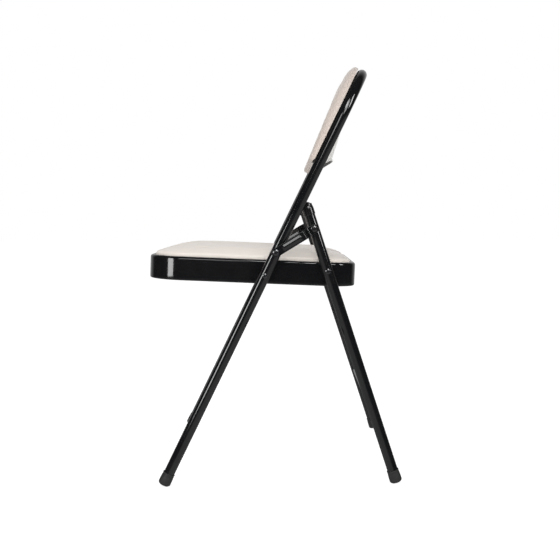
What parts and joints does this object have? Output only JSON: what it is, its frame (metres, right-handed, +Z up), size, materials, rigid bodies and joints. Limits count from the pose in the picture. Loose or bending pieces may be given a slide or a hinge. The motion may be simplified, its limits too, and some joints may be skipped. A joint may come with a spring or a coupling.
{
  "type": "folding chair",
  "caption": "Steel folding chair with a padded seat in a stamped pan and a padded backrest on an inverted-U tube, folding flat.",
  "frame": {"origin": "on the floor, under the middle of the open chair", "axes": "+Z up; -Y the way the sitter faces; +X the sitter's left"},
  "size_m": [0.4702, 0.4595, 0.7461],
  "materials": {
    "black_paint": "gloss powder coat",
    "dark_steel": "dark satin",
    "zinc_steel": "zinc plated",
    "black_plastic": "moulded, fluted",
    "black_rubber": "matt",
    "seat_fabric": "fine plain weave",
    "back_fabric": "fine plain weave",
    "cover_fabric": "smooth, stretched on sheet",
    "plywood": "raw"
  },
  "bodies": {
    "frame": {"front_frame_tube": "black_paint", "front_cross_brace": "black_paint", "front_foot_left": "black_rubber", "front_foot_right": "black_rubber", "back_panel": "black_paint", "back_pad": "back_fabric", "back_cover": "cover_fabric", "back_screw_1": "zinc_steel", "back_screw_2": "zinc_steel", "back_screw_3": "zinc_steel", "back_screw_4": "zinc_steel", "seat_pivot_rivet_left": "dark_steel", "seat_pivot_rivet_right": "dark_steel", "seat_pivot_spacer_left": "black_paint", "seat_pivot_spacer_right": "black_paint", "link_pivot_rivet_left": "dark_steel", "link_pivot_rivet_right": "dark_steel"},
    "seat": {"seat_pan": "black_paint", "seat_bracket_left": "zinc_steel", "seat_bracket_right": "zinc_steel", "seat_stiffener": "zinc_steel", "seat_board": "plywood", "seat_pad": "seat_fabric", "seat_screw_1": "zinc_steel", "seat_screw_2": "zinc_steel", "seat_screw_3": "zinc_steel", "seat_screw_4": "zinc_steel"},
    "rear_legs": {"rear_leg_left": "black_paint", "rear_leg_right": "black_paint", "rear_leg_cap_left": "black_plastic", "rear_leg_cap_right": "black_plastic", "rear_foot_left": "black_rubber", "rear_foot_right": "black_rubber", "rear_cross_brace": "black_paint", "rear_leg_rivet_left": "dark_steel", "rear_leg_rivet_right": "dark_steel", "rear_leg_washer_left": "zinc_steel", "rear_leg_washer_right": "zinc_steel", "link_stud_left": "dark_steel", "link_stud_right": "dark_steel"},
    "link_left": {"link_left": "black_paint", "link_head_left": "dark_steel"},
    "link_right": {"link_right": "black_paint", "link_head_right": "dark_steel"}
  },
  "joints": [
    {"name": "seat_fold", "type": "hinge", "parent": "frame", "child": "seat", "pos_m": [0, -0.01503, 0.3748], "axis": [-1, 0, 0], "range_deg": [0, 106]},
    {"name": "rear_leg_fold", "type": "hinge", "parent": "seat", "child": "rear_legs", "pos_m": [0, 0.09553, 0.381], "axis": [1, 0, 0], "range_deg": [0, 62.4]},
    {"name": "link_left_turn", "type": "hinge", "parent": "frame", "child": "link_left", "pos_m": [0, 0.00445, 0.415], "axis": [-1, 0, 0], "range_deg": [0, 129]},
    {"name": "link_right_turn", "type": "hinge", "parent": "frame", "child": "link_right", "pos_m": [0, 0.00445, 0.415], "axis": [-1, 0, 0], "range_deg": [0, 129]}
  ],
  "couplings": [
    {"joint": "rear_leg_fold", "follows": "seat_fold", "ratio": 0.58822},
    {"joint": "link_left_turn", "follows": "seat_fold", "ratio": 1.2165},
    {"joint": "link_right_turn", "follows": "seat_fold", "ratio": 1.2165}
  ]
}
